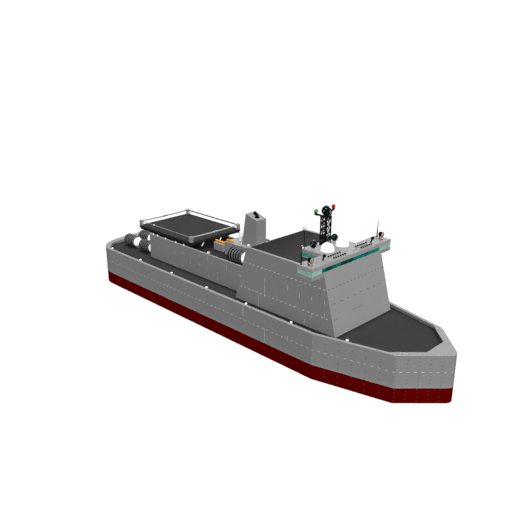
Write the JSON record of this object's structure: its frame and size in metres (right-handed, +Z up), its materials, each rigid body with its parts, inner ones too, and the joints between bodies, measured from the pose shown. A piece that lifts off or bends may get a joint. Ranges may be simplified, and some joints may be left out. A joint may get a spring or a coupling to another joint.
{
  "type": "military landing craft",
  "caption": "Grey flat-bottomed military landing craft with a raked deckhouse and wide bridge, lattice mast, after house, raised platform, mooring reels and twin screws in tunnels.",
  "frame": {"origin": "on the flat bottom, under the middle of the craft in length and beam", "axes": "+X towards the bow, +Y to port, +Z up"},
  "size_m": [31.65, 7.95, 9.835],
  "materials": {
    "hull_grey": "satin navy grey paint",
    "roof_grey": "satin light grey paint",
    "bottom_red": "dark red bottom paint",
    "deck_dark": "matt dark grey non-slip deck paint",
    "teal_glass": "teal tinted window glass",
    "gear_black": "semi-gloss black paint",
    "green_lens": "green lamp lens",
    "red_lens": "red lamp lens",
    "rail_grey": "galvanised grey paint",
    "float_orange": "orange float skin",
    "cover_navy": "navy blue paint",
    "plain_steel": "grey painted steel",
    "dome_white": "smooth white radome gelcoat",
    "reel_black": "black wound line on a black drum",
    "bronze": "cast propeller bronze"
  },
  "bodies": {
    "hull": {"hull_bottom": "bottom_red", "hull_sides": "hull_grey", "bulwark": "hull_grey", "main_deck": "deck_dark", "deckhouse": "hull_grey", "deckhouse_roof": "deck_dark", "aft_house": "hull_grey", "aft_house_roof": "deck_dark", "bridge_wing_port": "hull_grey", "bridge_wing_starboard": "hull_grey", "bridge_glass": "teal_glass", "bridge_roof": "roof_grey", "bridge_console": "gear_black", "lattice_mast": "gear_black", "starboard_light": "green_lens", "port_light": "red_lens", "loop_antenna": "gear_black", "engine_casing": "hull_grey", "funnel": "hull_grey", "exhaust_pipe": "gear_black", "upper_platform": "deck_dark", "platform_pillars": "gear_black", "platform_rails": "rail_grey", "deck_locker": "hull_grey", "locker_float": "float_orange", "casing_float": "float_orange", "deck_pump": "cover_navy", "reel_frame_aft": "plain_steel", "reel_frame_house_port": "plain_steel", "reel_frame_house_starboard": "plain_steel", "radome_port": "dome_white", "bearing_sight_port": "gear_black", "roof_vent_port": "plain_steel", "whip_antenna_port": "gear_black", "radome_starboard": "dome_white", "bearing_sight_starboard": "gear_black", "roof_vent_starboard": "plain_steel", "whip_antenna_starboard": "gear_black"},
    "aft_door": {"aft_door": "hull_grey"},
    "mast_sensor": {"mast_sensor": "gear_black"},
    "sensor_ball_port": {"sensor_ball_port": "gear_black"},
    "sensor_ball_starboard": {"sensor_ball_starboard": "gear_black"},
    "searchlight_yoke_port": {"searchlight_yoke_port": "gear_black"},
    "searchlight_yoke_starboard": {"searchlight_yoke_starboard": "gear_black"},
    "searchlight_port": {"searchlight_port": "gear_black"},
    "searchlight_starboard": {"searchlight_starboard": "gear_black"},
    "propeller_port": {"propeller_port": "bronze"},
    "propeller_starboard": {"propeller_starboard": "bronze"},
    "rudder_port": {"rudder_port": "bottom_red"},
    "rudder_starboard": {"rudder_starboard": "bottom_red"},
    "reel_aft_starboard": {"reel_aft_starboard": "reel_black"},
    "reel_fwd_starboard": {"reel_fwd_starboard": "reel_black"},
    "reel_aft_centre": {"reel_aft_centre": "reel_black"},
    "reel_aft_port": {"reel_aft_port": "reel_black"},
    "reel_fwd_port": {"reel_fwd_port": "reel_black"},
    "reel_house_port": {"reel_house_port": "reel_black"},
    "reel_house_starboard": {"reel_house_starboard": "reel_black"}
  },
  "joints": [
    {"name": "aft_door_hinge", "type": "hinge", "parent": "hull", "child": "aft_door", "pos_m": [-10.1625, -0.43, 3.775], "axis": [0, 0, 1], "range_deg": [0, 110]},
    {"name": "mast_sensor_turn", "type": "hinge", "parent": "hull", "child": "mast_sensor", "pos_m": [6.225, 0, 9.49], "axis": [0, 0, 1], "continuous": true},
    {"name": "sensor_port_turn", "type": "hinge", "parent": "hull", "child": "sensor_ball_port", "pos_m": [6.15, 1.05, 7.49], "axis": [0, 0, 1], "continuous": true},
    {"name": "searchlight_port_pan", "type": "hinge", "parent": "hull", "child": "searchlight_yoke_port", "pos_m": [8.025, 3.55, 7.3], "axis": [0, 0, 1], "range_deg": [-175, 175]},
    {"name": "searchlight_port_tilt", "type": "hinge", "parent": "searchlight_yoke_port", "child": "searchlight_port", "pos_m": [8.025, 3.55, 7.56], "axis": [0, 1, 0], "range_deg": [-60, 30]},
    {"name": "propeller_port_shaft", "type": "hinge", "parent": "hull", "child": "propeller_port", "pos_m": [-13.675, 1.55, 0.52], "axis": [1, 0, 0], "continuous": true},
    {"name": "rudder_port_stock", "type": "hinge", "parent": "hull", "child": "rudder_port", "pos_m": [-14.575, 1.55, 0.5], "axis": [0, 0, 1], "range_deg": [-35, 35]},
    {"name": "sensor_starboard_turn", "type": "hinge", "parent": "hull", "child": "sensor_ball_starboard", "pos_m": [6.15, -1.05, 7.49], "axis": [0, 0, 1], "continuous": true},
    {"name": "searchlight_starboard_pan", "type": "hinge", "parent": "hull", "child": "searchlight_yoke_starboard", "pos_m": [8.025, -3.55, 7.3], "axis": [0, 0, 1], "range_deg": [-175, 175]},
    {"name": "searchlight_starboard_tilt", "type": "hinge", "parent": "searchlight_yoke_starboard", "child": "searchlight_starboard", "pos_m": [8.025, -3.55, 7.56], "axis": [0, 1, 0], "range_deg": [-60, 30]},
    {"name": "propeller_starboard_shaft", "type": "hinge", "parent": "hull", "child": "propeller_starboard", "pos_m": [-13.675, -1.55, 0.52], "axis": [1, 0, 0], "continuous": true},
    {"name": "rudder_starboard_stock", "type": "hinge", "parent": "hull", "child": "rudder_starboard", "pos_m": [-14.575, -1.55, 0.5], "axis": [0, 0, 1], "range_deg": [-35, 35]},
    {"name": "reel_aft_starboard_axle", "type": "hinge", "parent": "hull", "child": "reel_aft_starboard", "pos_m": [-13.5, -1.425, 3.336], "axis": [1, 0, 0], "continuous": true},
    {"name": "reel_fwd_starboard_axle", "type": "hinge", "parent": "hull", "child": "reel_fwd_starboard", "pos_m": [-11.375, -1.425, 3.336], "axis": [1, 0, 0], "continuous": true},
    {"name": "reel_aft_centre_axle", "type": "hinge", "parent": "hull", "child": "reel_aft_centre", "pos_m": [-13.5, 0, 3.336], "axis": [1, 0, 0], "continuous": true},
    {"name": "reel_aft_port_axle", "type": "hinge", "parent": "hull", "child": "reel_aft_port", "pos_m": [-13.5, 1.425, 3.336], "axis": [1, 0, 0], "continuous": true},
    {"name": "reel_fwd_port_axle", "type": "hinge", "parent": "hull", "child": "reel_fwd_port", "pos_m": [-11.375, 1.425, 3.336], "axis": [1, 0, 0], "continuous": true},
    {"name": "reel_house_port_axle", "type": "hinge", "parent": "hull", "child": "reel_house_port", "pos_m": [-0.25, 1.46, 5.2564], "axis": [1, 0, 0], "continuous": true},
    {"name": "reel_house_starboard_axle", "type": "hinge", "parent": "hull", "child": "reel_house_starboard", "pos_m": [-0.25, -1.46, 5.2564], "axis": [1, 0, 0], "continuous": true}
  ]
}
